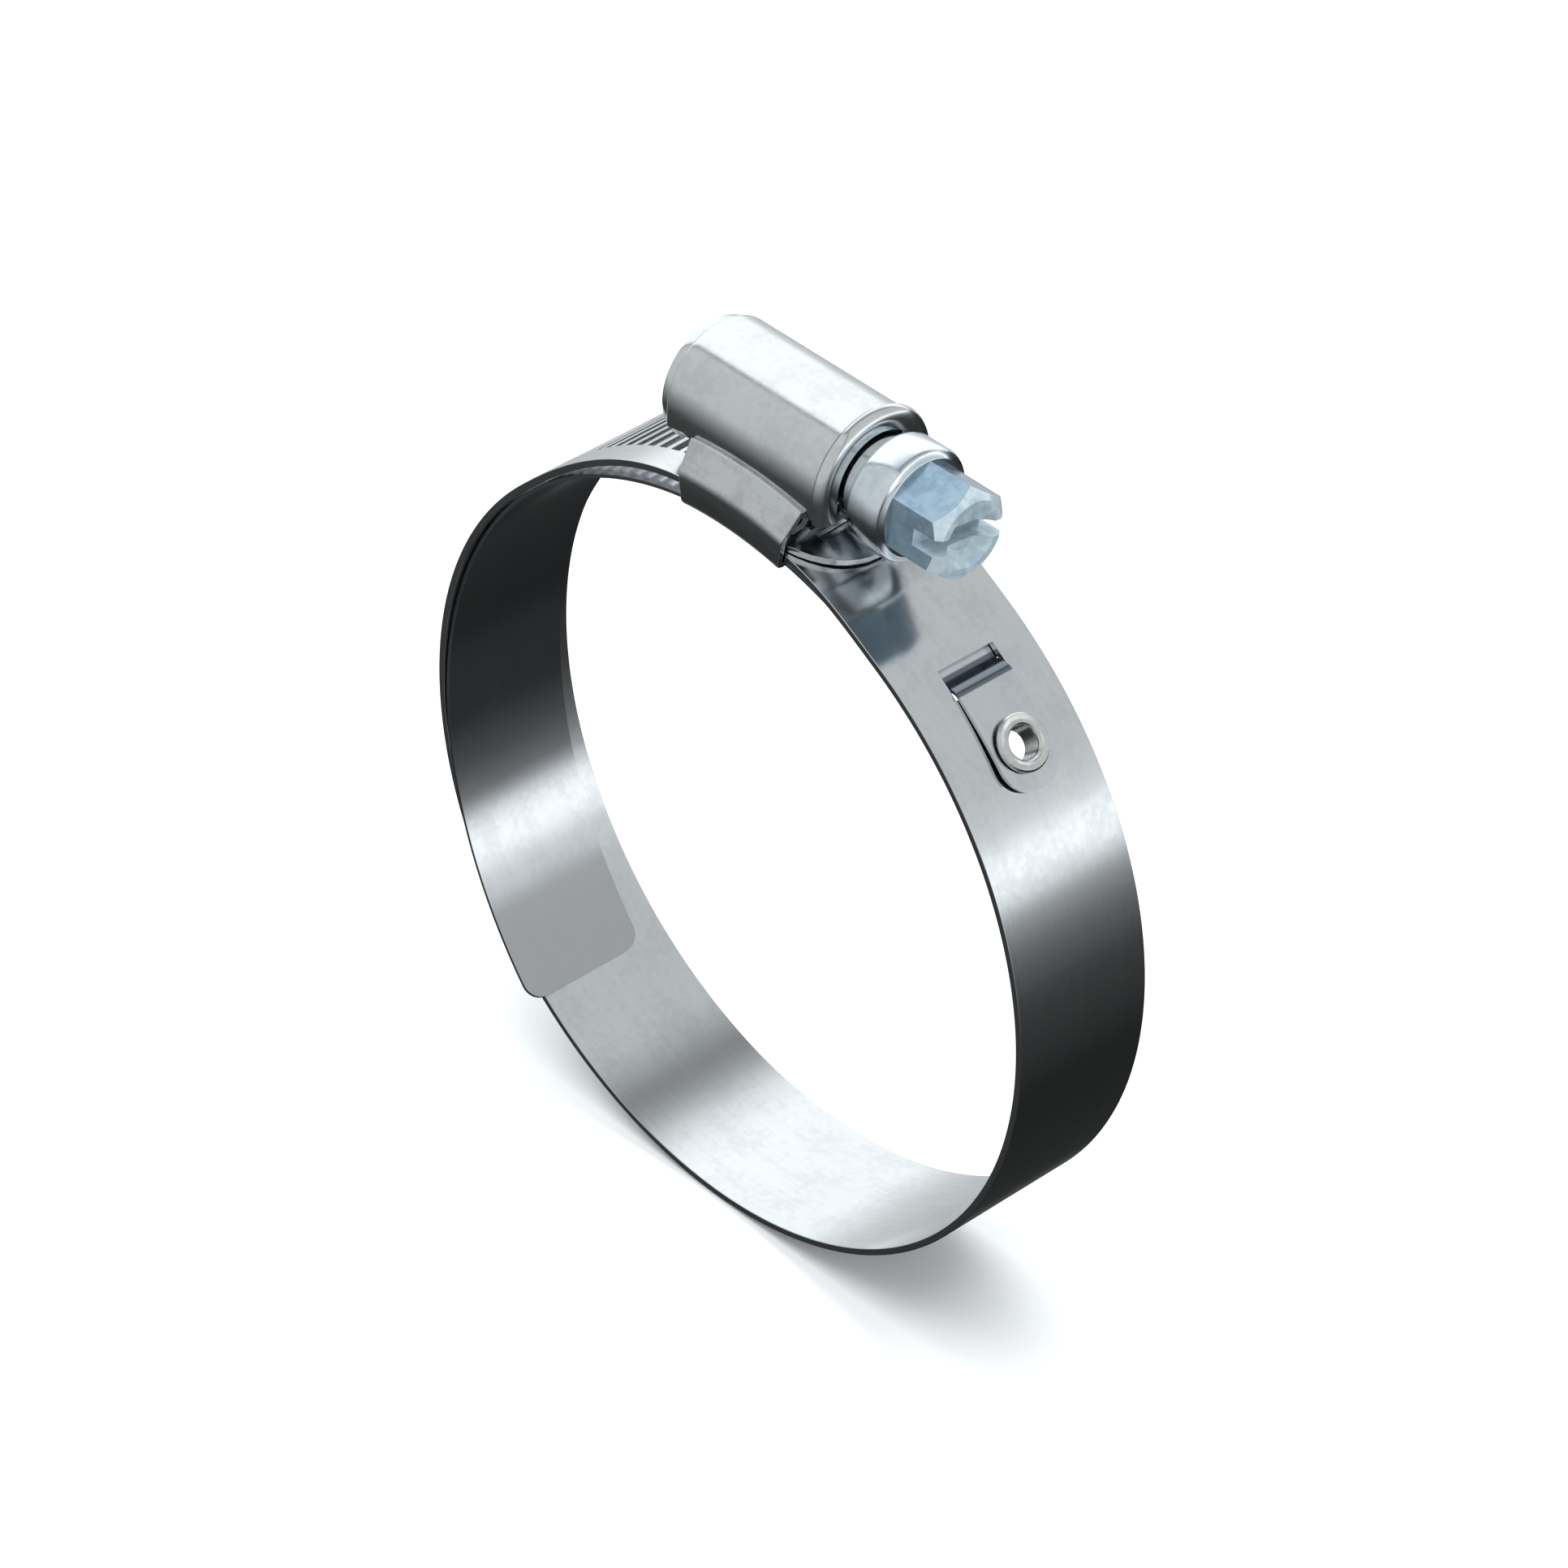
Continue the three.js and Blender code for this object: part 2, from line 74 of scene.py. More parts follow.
toward_camera = Vector(
    (
        sin(camera_bearing) * cos(camera_height),
        -cos(camera_bearing) * cos(camera_height),
        sin(camera_height),
    )
)
level_right = Vector((cos(camera_bearing), sin(camera_bearing), 0))
level_up = toward_camera.cross(level_right)
camera_right = cos(camera_roll) * level_right + sin(camera_roll) * level_up
camera_up = toward_camera.cross(camera_right)
camera = bpy.data.objects.new("camera", bpy.data.cameras.new("camera"))
bpy.context.scene.collection.objects.link(camera)
bpy.context.scene.camera = camera
camera.data.lens = camera_lens
camera.data.clip_start = camera_near
turn = Matrix((camera_right, camera_up, toward_camera)).transposed().to_4x4()
place = toward_camera * camera_distance + camera_right * camera_aside.x + camera_up * camera_aside.y
camera.matrix_world = Matrix.Translation(place) @ turn

# ---- Floor and studio light ----
# A pale table top, a soft light overhead for it, and a light tent with dark cards round the
# clamp: bright steel shows little but what stands round it.
scene = bpy.context.scene
scene.view_settings.view_transform = "Standard"


class Wire:
    """A node's output that takes part in arithmetic."""

    def __init__(self, tree, socket):
        self.tree = tree
        self.socket = socket

    def math(self, operation, *others):
        return self.tree.node("ShaderNodeMath", {"operation": operation}, [self, *others])

    def __add__(self, other):
        return self.math("ADD", other)

    def __sub__(self, other):
        return self.math("SUBTRACT", other)

    def __mul__(self, other):
        return self.math("MULTIPLY", other)

    def __truediv__(self, other):
        return self.math("DIVIDE", other)

    def __rsub__(self, other):
        return self.tree.node("ShaderNodeMath", {"operation": "SUBTRACT"}, [other, self])

    __radd__ = __add__
    __rmul__ = __mul__

    def between(self, low, high):
        """0 below low and 1 above high, with a smooth change between."""
        settings = {"interpolation_type": "SMOOTHSTEP"}
        return self.tree.node("ShaderNodeMapRange", settings, {0: self, 1: low, 2: high})


class Tree:
    """The nodes of one material or of the light tent."""

    def __init__(self, nodes_of):
        nodes_of.use_nodes = True
        self.nodes = nodes_of.node_tree.nodes
        self.links = nodes_of.node_tree.links

    def node(self, kind, settings=None, inputs=(), output=0):
        made = self.nodes.new(kind)
        for key, value in (settings or {}).items():
            if key == "stops":
                self.set_stops(made.color_ramp, value)
            else:
                setattr(made, key, value)
        pairs = inputs.items() if isinstance(inputs, dict) else enumerate(inputs)
        for key, value in pairs:
            self.plug(made.inputs[key], value)
        return Wire(self, made.outputs[output])

    def plug(self, socket, value):
        if isinstance(value, Wire):
            self.links.new(value.socket, socket)
        else:
            socket.default_value = value

    def set_stops(self, ramp, stops):
        while len(ramp.elements) < len(stops):
            ramp.elements.new(1)
        for element, (at, colour) in zip(ramp.elements, stops):
            element.position = at
            element.color = (*colour, 1)

    def mix(self, factor, first, second):
        """A colour between two colours."""
        settings = {"data_type": "RGBA"}
        return self.node("ShaderNodeMix", settings, {0: factor, 6: first, 7: second}, output=2)


tent_tones = [
    (0, 0.40),
    (12, 0.72),
    (30, 0.70),
    (60, 0.72),
    (72, 0.90),
    (78, 1.55),
    (85, 1.55),
    (94, 0.40),
    (104, 0.17),
    (118, 0.06),
    (150, 0.02),
    (200, 0.03),
    (214, 0.12),
    (228, 0.52),
    (250, 0.66),
    (268, 0.85),
    (284, 1.38),
    (330, 1.45),
    (340, 1.15),
    (349, 0.50),
    (355, 0.30),
]
front_tones = [(0, 0.02), (0.22, 0.05), (0.36, 0.3), (0.5, 0.68), (0.8, 0.72), (1, 0.8)]
tent_blue = (0.94, 0.99, 1.0)
roof_edge = (-0.24, -0.20)
card_edges = (-0.29, -0.25, -0.23, -0.19)
card_black = (0.03, 0.03, 0.035, 1)
card_share = 0.8

tent = Tree(bpy.data.worlds.new("tent"))
scene.world = bpy.data.worlds["tent"]
direction = tent.node("ShaderNodeTexCoord")
split = tent.node("ShaderNodeSeparateXYZ", None, [direction])
across, along, upward = (Wire(tent, split.socket.node.outputs[i]) for i in range(3))
round_hose = (across.math("ARCTAN2", upward) / (2 * pi)).math("FRACT")


def tones(pairs, whole):
    return [(at / whole, tuple(part * tone for part in tent_blue)) for at, tone in pairs]


back_light = tent.node("ShaderNodeValToRGB", {"stops": tones(tent_tones, 360)}, [round_hose])
height_share = upward * 0.5 + 0.5
front_light = tent.node("ShaderNodeValToRGB", {"stops": tones(front_tones, 1)}, [height_share])
back_share = along.between(*roof_edge)
roof_light = tent.mix(back_share, front_light, back_light)
card = along.between(*card_edges[:2]) * (1 - along.between(*card_edges[2:]))
tent_light = tent.mix(card * card_share, roof_light, card_black)
background = tent.nodes["Background"]
tent.plug(background.inputs["Color"], tent_light)

floor_size = 6
floor_gap = 0.0002
light_size = 1.6
light_height = 1.3
light_power = 22
speckle_scale = 40
speckle_dark, speckle_light = (0.86, 0.87, 0.88, 1), (0.89, 0.9, 0.9, 1)
laminate_roughness = 0.7

bm = bmesh.new()
bmesh.ops.create_grid(bm, x_segments=1, y_segments=1, size=floor_size / 2)
bmesh.ops.translate(bm, vec=(0, 0, cad_box[0][2] - floor_gap), verts=bm.verts)
table_mesh = bpy.data.meshes.new("table_top")
bm.to_mesh(table_mesh)
bm.free()
table_top = bpy.data.objects.new("table_top", table_mesh)
scene.collection.objects.link(table_top)
table_top.visible_glossy = False
pale = bpy.data.materials.new("pale_laminate")
laminate = Tree(pale)
table_place = laminate.node("ShaderNodeTexCoord", output=3)
spot = laminate.node("ShaderNodeTexNoise", None, {"Vector": table_place, "Scale": speckle_scale})
shade = laminate.mix(spot, speckle_dark, speckle_light)
laminate_shader = laminate.nodes["Principled BSDF"]
laminate.plug(laminate_shader.inputs["Base Color"], shade)
laminate_shader.inputs["Roughness"].default_value = laminate_roughness
table_mesh.materials.append(pale)

lamp = bpy.data.objects.new("overhead", bpy.data.lights.new("overhead", "AREA"))
scene.collection.objects.link(lamp)
lamp.data.size = light_size
lamp.data.energy = light_power
lamp.location = (0, 0, light_height)
lamp.visible_glossy = False

# A weaker light from the screw's end, which shows on matt surfaces and not in the bright ones.
side_power, side_size = 3, 0.7
side_place = Vector((1.1, -0.35, 0.55))
side_lamp = bpy.data.objects.new("side_fill", bpy.data.lights.new("side_fill", "AREA"))
scene.collection.objects.link(side_lamp)
side_lamp.data.size = side_size
side_lamp.data.energy = side_power
side_lamp.location = side_place
side_lamp.rotation_euler = side_place.to_track_quat("Z", "Y").to_euler()
side_lamp.visible_glossy = False

# ---- Band ----
# A long strip of cold-rolled stainless steel, pierced with a row of slots for the worm and with a
# window and a hole for the liner's tongue. It is rolled into a ring; one end lies in the saddle.
MM = 0.001
ring_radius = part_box("band")[1].x / MM
band_width = (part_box("band")[1].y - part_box("band")[0].y) / MM
band_thickness = 0.65
sheet_edge = 0.07
ring_step = 1.5
corner_steps = 10
hole_cuts = 8
touch, near = 1e-4, 1e-3
fold_limit = radians(32)
band_inner = ring_radius - band_thickness
layer_gap = 0.1
saddle_sheet = 0.65
held_inner = band_inner + saddle_sheet + layer_gap
tail_inner = held_inner + band_thickness + layer_gap
held_end, held_ramp_start, held_ramp_end = -5, 11.3, 30
ramp_start, ramp_end = -44, -10
parting, parting_gap = -6.27, 0.45
slot_pitch = 1.5875
slot_width, slot_length, slot_slant = 0.95, 8.0, radians(3.04)
worm_bite = 0.5
pitch_radius = tail_inner + band_thickness - worm_bite / 2
pitch_angle = degrees(slot_pitch / pitch_radius)
tip_angle, tip_to_slot = 18, 4
first_slot = tip_angle - degrees(tip_to_slot / pitch_radius)
tail_slots = 8
last_slot = -125
window_start, window_end, window_width = 34.5, 38.9, 6.14
window_aside = 0.4
eyelet_angle = 47.5
eyelet_hole = 2.0
hole_border = 0.35


def blank(start, end, width, corner=0, corner_ends=()):
    """A flat strip in X and Y: X is the angle on the ring, laid out at the ring's radius."""
    flat = bmesh.new()
    bmesh.ops.create_grid(flat, x_segments=1, y_segments=1, size=0.5)
    bmesh.ops.scale(flat, vec=(flat_length(end - start), width, 1), verts=flat.verts)
    bmesh.ops.translate(flat, vec=(flat_length((start + end) / 2), 0, 0), verts=flat.verts)
    for end_angle in corner_ends:
        round_corners(flat, end_angle, corner)
    return flat


def flat_length(angle):
    return radians(angle) * ring_radius


def round_corners(flat, angle, corner):
    corners = [v for v in flat.verts if abs(v.co.x - flat_length(angle)) < touch]
    bmesh.ops.bevel(
        flat,
        geom=corners,
        offset=corner,
        affect="VERTICES",
        segments=corner_steps,
        profile=0.5,
        material=-1,
    )


def cut_line(flat, point, normal):
    everything = flat.verts[:] + flat.edges[:] + flat.faces[:]
    bmesh.ops.bisect_plane(flat, geom=everything, plane_co=point, plane_no=normal, dist=touch)


def cut_across(flat, angle, slant=0):
    cut_line(flat, (flat_length(angle), 0, 0), (cos(slant), sin(slant), 0))


def cut_steps(flat, start, end, step):
    """Lines across the strip, close enough together for it to bend smoothly."""
    count = floor((end - start) / step)
    for number in range(1, count + 1):
        cut_across(flat, start + (end - start) * number / (count + 1))


def drop_faces(flat, inside):
    gone = [face for face in flat.faces if inside(face.calc_center_median())]
    bmesh.ops.delete(flat, geom=gone, context="FACES")


def pierce_slots(flat, numbers):
    for side in (-1, 1):
        cut_line(flat, (0, side * slot_length / 2, 0), (0, 1, 0))
    half = degrees(slot_width / 2 / ring_radius)
    for number in numbers:
        for side in (-1, 1):
            cut_across(flat, first_slot - number * pitch_angle + side * half, slot_slant)

    def in_slot(centre):
        along_strip = centre.x + centre.y * tan(slot_slant)
        number = round((flat_length(first_slot) - along_strip) / flat_length(pitch_angle))
        offset = along_strip - flat_length(first_slot - number * pitch_angle)
        wanted = number in numbers and abs(offset) < slot_width / 2
        return wanted and abs(centre.y) < slot_length / 2

    drop_faces(flat, in_slot)


def pierce_round(flat, angle, aside, radius):
    """A round hole: a square opening, then a ring of faces in to the circle."""
    centre = Vector((flat_length(angle), aside, 0))
    reach = radius + hole_border
    for cut in range(hole_cuts + 1):
        share = 2 * cut / hole_cuts - 1
        cut_line(flat, (centre.x + share * reach, 0, 0), (1, 0, 0))
        cut_line(flat, (0, centre.y + share * reach, 0), (0, 1, 0))
    drop_faces(flat, lambda at: max(abs(at.x - centre.x), abs(at.y - centre.y)) < reach)
    open_edges = [e for e in flat.edges if e.is_boundary]
    border = {v for e in open_edges for v in e.verts if near_square(v.co - centre, reach)}
    border = sorted(border, key=lambda v: (v.co - centre).xy.angle_signed(Vector((1, 0))))
    rim = [flat.verts.new(centre + (v.co - centre).normalized() * radius) for v in border]
    for number, vert in enumerate(border):
        flat.faces.new((border[number - 1], vert, rim[number], rim[number - 1]))


def near_square(offset, reach):
    return abs(max(abs(offset.x), abs(offset.y)) - reach) < near


def roll(flat, radius_at):
    """Bends the flat strip round the hose axis; its radius may change with the angle."""
    bmesh.ops.recalc_face_normals(flat, faces=flat.faces)
    if sum(face.normal.z for face in flat.faces) < 0:
        bmesh.ops.reverse_faces(flat, faces=flat.faces)
    for vert in flat.verts:
        angle = vert.co.x / ring_radius
        radius = radius_at(degrees(angle))
        vert.co = (radius * sin(angle), vert.co.y, radius * cos(angle))


def smooth(low, high, value):
    share = min(max((value - low) / (high - low), 0), 1)
    return share * share * (3 - 2 * share)


def finish_piece(name, shape, wall=0, edge=0, edge_steps=2, wall_side=1):
    """Turns a shape in millimetres into an object in metres, with its wall and its edges."""
    bmesh.ops.scale(shape, vec=(MM, MM, MM), verts=shape.verts)
    mesh = bpy.data.meshes.new(name)
    shape.to_mesh(mesh)
    shape.free()
    mesh.shade_smooth()
    piece = bpy.data.objects.new(name, mesh)
    scene.collection.objects.link(piece)
    if wall:
        solid = piece.modifiers.new("wall", "SOLIDIFY")
        solid.thickness = wall * MM
        solid.offset = wall_side
        solid.use_even_offset = True
    if edge:
        rounding = piece.modifiers.new("edge", "BEVEL")
        rounding.width = edge * MM
        rounding.segments = edge_steps
        rounding.limit_method = "ANGLE"
        rounding.angle_limit = fold_limit
        rounding.harden_normals = True
    return piece


def steel(name, light, dark, roughness, grain, grain_depth, spread=0.12):
    """Bare steel: fine drawn lines, a faint cloud of handling marks and small scratches."""
    material = bpy.data.materials.new(name)
    tree = Tree(material)
    position = tree.node("ShaderNodeTexCoord", None, output=3)

    def noise(scale, detail=3, rough=0.55):
        stretched = tree.node("ShaderNodeVectorMath", {"operation": "MULTIPLY"}, [position, scale])
        inputs = {"Vector": stretched, "Scale": 1, "Detail": detail, "Roughness": rough}
        return tree.node("ShaderNodeTexNoise", None, inputs)

    cloud_size, mottle_size = 260, 1400
    broad_grain = tuple(part * 0.2 for part in grain)
    lines = noise(grain)
    broad_lines = noise(broad_grain, 2)
    cloud = noise((cloud_size, cloud_size, cloud_size), 4)
    mottle = noise((mottle_size, mottle_size, mottle_size), 2)
    marks = (cloud * 0.6 + mottle * 0.4).between(0.42, 0.66)
    tone = lines * 0.4 + broad_lines * 0.3 + (1 - marks) * 0.3
    shader = tree.nodes["Principled BSDF"]
    shader.inputs["Metallic"].default_value = 1
    tree.plug(shader.inputs["Base Color"], tree.mix(tone.between(0.3, 0.75), dark, light))
    rough = roughness + spread * (lines - 0.5) + spread * 0.5 * (marks - 0.5)
    tree.plug(shader.inputs["Roughness"], rough)
    height = lines * 0.6 + broad_lines * 0.5 + marks * 0.05
    inputs = {"Strength": 0.3, "Distance": grain_depth, "Height": height}
    tree.plug(shader.inputs["Normal"], tree.node("ShaderNodeBump", None, inputs))
    return material


def band_radius(angle):
    """The band's inner radius from its held end round the ring to the ramp into the housing."""
    if angle < held_ramp_end:
        return held_inner + (band_inner - held_inner) * smooth(held_ramp_start, held_ramp_end, angle)
    return band_inner + (tail_inner - band_inner) * smooth(ramp_start, ramp_end, angle - 360)


round_grain = (90, 9000, 90)
light_steel, dark_steel = (0.69, 0.7, 0.71, 1), (0.62, 0.63, 0.65, 1)
band_steel = steel("rolled_band_steel", light_steel, dark_steel, 0.17, round_grain, 1e-6, 0.08)

band_end = 360 + parting - parting_gap
strip = blank(held_end, band_end, band_width)
bmesh.ops.translate(strip, vec=(-flat_length(360), 0, 0), verts=strip.verts)
slot_count = floor((first_slot - (tail_slots + 1) * pitch_angle - last_slot) / pitch_angle)
pierce_slots(strip, range(tail_slots + 1, tail_slots + 1 + slot_count))
bmesh.ops.translate(strip, vec=(flat_length(360), 0, 0), verts=strip.verts)
cut_steps(strip, held_end, last_slot + 360, ring_step)
for angle in (window_start, window_end):
    cut_across(strip, angle)
for side in (-1, 1):
    cut_line(strip, (0, window_aside + side * window_width / 2, 0), (0, 1, 0))


def in_window(centre):
    angle = degrees(centre.x / ring_radius)
    return window_start < angle < window_end and abs(centre.y - window_aside) < window_width / 2


drop_faces(strip, in_window)
pierce_round(strip, eyelet_angle, window_aside, eyelet_hole)
roll(strip, band_radius)
band = finish_piece("band_ring", strip, band_thickness, sheet_edge)
band.data.materials.append(band_steel)
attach(band, "clamp")
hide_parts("band")

# ---- Driven end of the band ----
# The same strip where it comes out of the housing, over its own held end, with a rounded tip. The
# worm's thread stands in its slots and draws it along.
tip_corner, tip_step = 6.4, 1
strip = blank(parting, tip_angle, band_width, tip_corner, [tip_angle])
pierce_slots(strip, range(tail_slots))
cut_steps(strip, first_slot, tip_angle, tip_step)
roll(strip, lambda angle: tail_inner)
tail = finish_piece("band_driven_end", strip, band_thickness, sheet_edge)
tail.data.materials.append(band_steel)
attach(tail, "band_tail")
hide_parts("band_tail")

# ---- Liner ----
# A thinner, smooth strip that lies between band and hose, so that the slots don't bite into it. A
# tongue at one end steps out through the band's window; the other end is free and has crept aside.
liner_thickness = 0.35
liner_edge = 0.05
liner_inner = band_inner - layer_gap - liner_thickness
liner_width = 12.9
liner_end, liner_corner = -141.2, 1.8
liner_creep, creep_start = 2.4, -50
shoulder = 36.3
tongue_width, tongue_end, tongue_corner = 5.9, 53.6, 2.6
step_start, step_end, tip_lift = 35.9, 38.7, 0.3
step_margin, fine_step, tongue_step = 0.1, 0.2, 1
tongue_inner = ring_radius + layer_gap


def liner_radius(angle):
    lift = tip_lift * smooth(step_end, tongue_end, angle)
    return liner_inner + (tongue_inner - liner_inner) * smooth(step_start, step_end, angle) + lift


def creep(angle):
    share = max(0, (angle - creep_start) / (liner_end - creep_start))
    return liner_creep * share * share


strip = blank(liner_end, tongue_end, liner_width, liner_corner, [liner_end])
cut_across(strip, shoulder)
for side in (-1, 1):
    cut_line(strip, (0, window_aside + side * tongue_width / 2, 0), (0, 1, 0))


def beside_tongue(centre):
    return centre.x > flat_length(shoulder) and abs(centre.y - window_aside) > tongue_width / 2


drop_faces(strip, beside_tongue)
round_corners(strip, tongue_end, tongue_corner)
cut_steps(strip, liner_end, step_start, ring_step)
cut_steps(strip, step_start - step_margin, step_end + step_margin, fine_step)
cut_steps(strip, step_end, tongue_end, tongue_step)
pierce_round(strip, eyelet_angle, window_aside, eyelet_hole)
for vert in strip.verts:
    vert.co.y -= creep(degrees(vert.co.x / ring_radius))
roll(strip, liner_radius)
liner = finish_piece("inner_liner", strip, liner_thickness, liner_edge)
light_liner, dark_liner = (0.67, 0.68, 0.7, 1), (0.6, 0.61, 0.64, 1)
liner_steel = steel("rolled_liner_steel", light_liner, dark_liner, 0.17, round_grain, 0.9e-6, 0.08)

# The liner's colour is darker towards its free end. Above it, a darker band is painted shade in place
# of a dark reflection, and the tongue's bend is darkened with painted shade.
# The liner's colour is darker towards its free end.
free_end_from, free_end_to, free_end_tone = radians(-124), radians(-128), (0.45, 0.45, 0.46, 1)
free_end_share = 0.85
# Painted shade: a darker band of the liner's colour stands in for a dark reflection.
reflection_shade_edges = (radians(-114), radians(-109), radians(-98), radians(-84))
reflection_shade_tone = (0.38, 0.38, 0.4, 1)
# Painted shade in the tongue's bend, which lies in shade under the window's edge.
bend_shade_edges = (radians(35.2), radians(35.5), radians(38.7), radians(38.95))
bend_shade_tone = (0.17, 0.19, 0.22, 1)
liner_tree = Tree(liner_steel)
liner_point = liner_tree.node("ShaderNodeTexCoord", output=3)
liner_place = liner_tree.node("ShaderNodeSeparateXYZ", None, [liner_point])
liner_x, liner_z = (Wire(liner_tree, liner_place.socket.node.outputs[i]) for i in (0, 2))
round_liner = liner_x.math("ARCTAN2", liner_z)
free_end_darkening = 1 - round_liner.between(free_end_to, free_end_from)
# The painted shade in place of a dark reflection, between these angles.
reflection_shade = round_liner.between(*reflection_shade_edges[:2]) * (1 - round_liner.between(*reflection_shade_edges[2:]))
# The bend's painted shade.
bend = round_liner.between(*bend_shade_edges[:2]) * (1 - round_liner.between(*bend_shade_edges[2:]))
liner_colour = liner_tree.nodes["Principled BSDF"].inputs["Base Color"]
clean = Wire(liner_tree, liner_colour.links[0].from_socket)
liner_shade = liner_tree.mix(free_end_darkening * free_end_share, clean, free_end_tone)
liner_shade = liner_tree.mix(reflection_shade, liner_shade, reflection_shade_tone)
liner_tree.plug(liner_colour, liner_tree.mix(bend, liner_shade, bend_shade_tone))
liner.data.materials.append(liner_steel)
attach(liner, "clamp")
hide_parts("liner")

# ---- Eyelet ----
# A short stainless tube through tongue and band. Both ends are rolled over into a flat rim, which
# grips the tongue on the outside and the band on the inside.
bore, tube, rim = 1.4, 1.9, 2.5
rim_height = 0.4
eyelet_bottom = band_inner - layer_gap - rim_height
eyelet_top = tongue_inner + liner_thickness + tip_lift + layer_gap + rim_height
fillet, eyelet_edge, eyelet_steps = 0.18, 0.05, 64
eyelet_profile = [
    (bore, eyelet_bottom + fillet),
    (bore + fillet, eyelet_bottom),
    (rim - fillet, eyelet_bottom),
    (rim, eyelet_bottom + fillet),
    (rim, eyelet_bottom + rim_height),
    (tube, eyelet_bottom + rim_height),
    (tube, eyelet_top - rim_height),
    (rim, eyelet_top - rim_height),
    (rim, eyelet_top - fillet),
    (rim - fillet, eyelet_top),
    (tube, eyelet_top - 0.5 * fillet),
    (bore + 1.4 * fillet, eyelet_top),
    (bore + 0.3 * fillet, eyelet_top - fillet),
    (bore, eyelet_top - 2.5 * fillet),
]


def spun(profile, steps, axis=(0, 0, 1), closed=True):
    """A turned shape from a profile of radius and place along the axis."""
    shape = bmesh.new()
    side = Vector((1, 0, 0)) if axis[2] else Vector((0, 0, 1))
    corners = [shape.verts.new(side * radius + Vector(axis) * at) for radius, at in profile]
    edges = [shape.edges.new(pair) for pair in zip(corners, corners[1:])]
    if closed:
        edges.append(shape.edges.new((corners[-1], corners[0])))
    bmesh.ops.spin(
        shape,
        geom=corners + edges,
        cent=(0, 0, 0),
        axis=axis,
        angle=2 * pi,
        steps=steps,
        use_merge=True,
    )
    bmesh.ops.remove_doubles(shape, verts=shape.verts, dist=touch)
    bmesh.ops.recalc_face_normals(shape, faces=shape.faces)
    return shape


ring = spun(eyelet_profile, eyelet_steps)
bmesh.ops.rotate(ring, verts=ring.verts, matrix=Matrix.Rotation(radians(eyelet_angle), 3, "Y"))
bmesh.ops.translate(ring, verts=ring.verts, vec=(0, window_aside, 0))
eyelet = finish_piece("eyelet_rivet", ring, 0, eyelet_edge)
satin_grain = (2500, 2500, 2500)
light_eyelet, dark_eyelet = (0.72, 0.72, 0.71, 1), (0.56, 0.56, 0.56, 1)
eyelet_steel = steel("rolled_eyelet_steel", light_eyelet, dark_eyelet, 0.26, satin_grain, 2e-6)
eyelet.data.materials.append(eyelet_steel)
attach(eyelet, "clamp")
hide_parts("eyelet")

# ---- Saddle ----
# A pressed channel between liner and band. Its base carries the held end of the band, and its two
# sides are folded in at the top, over the feet of the housing.
saddle_start, saddle_end = -7, 11.3
saddle_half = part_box("saddle")[1].y / MM
lip_reach, lip_top, lip_fold = 6.3, 41.4, 38.9
saddle_folds = (0, 1.6, 0.8, 0.8, 1.6, 0)
fold_steps, saddle_steps = 8, 16
pressed_edge, pressed_edge_steps = 0.12, 3
saddle_points = [
    (-lip_reach, lip_top),
    (-saddle_half, lip_fold),
    (-saddle_half, band_inner),
    (saddle_half, band_inner),
    (saddle_half, lip_fold),
    (lip_reach, lip_top),
]


def folded(corner, before, after, radius):
    """The points of a bend of the given radius in place of a sharp corner."""
    back, ahead = (before - corner).normalized(), (after - corner).normalized()
    half = back.angle(ahead) / 2
    centre = corner + (back + ahead).normalized() * radius / sin(half)
    first = (corner + back * radius / tan(half) - centre).normalized()
    last = (corner + ahead * radius / tan(half) - centre).normalized()
    return [centre + first.slerp(last, step / fold_steps) * radius for step in range(fold_steps + 1)]


line = [Vector(point) for point in saddle_points]
outline = [line[0]]
for before, corner, after, radius in zip(line, line[1:], line[2:], saddle_folds[1:]):
    outline += folded(corner, before, after, radius)
outline.append(line[-1])
section = bmesh.new()
corners = [section.verts.new((0, point.x, point.y)) for point in outline]
for pair in zip(corners, corners[1:]):
    section.edges.new(pair)
bmesh.ops.rotate(section, verts=section.verts, matrix=Matrix.Rotation(radians(saddle_start), 3, "Y"))
bmesh.ops.spin(
    section,
    geom=section.verts[:] + section.edges[:],
    cent=(0, 0, 0),
    axis=(0, 1, 0),
    angle=radians(saddle_end - saddle_start),
    steps=saddle_steps,
    use_merge=False,
)
bmesh.ops.recalc_face_normals(section, faces=section.faces)
base = min(section.faces, key=lambda face: face.calc_center_median().length)
if base.normal.z > 0:
    bmesh.ops.reverse_faces(section, faces=section.faces)
saddle = finish_piece(
    "saddle_channel", section, saddle_sheet, pressed_edge, pressed_edge_steps, -1
)
light_saddle, dark_saddle = (0.66, 0.66, 0.67, 1), (0.54, 0.54, 0.55, 1)
pressed_grain = (200, 1500, 2500)
saddle_steel = steel("pressed_saddle_steel", light_saddle, dark_saddle, 0.2, pressed_grain, 1.2e-6)
saddle.data.materials.append(saddle_steel)
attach(saddle, "clamp")
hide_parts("saddle")

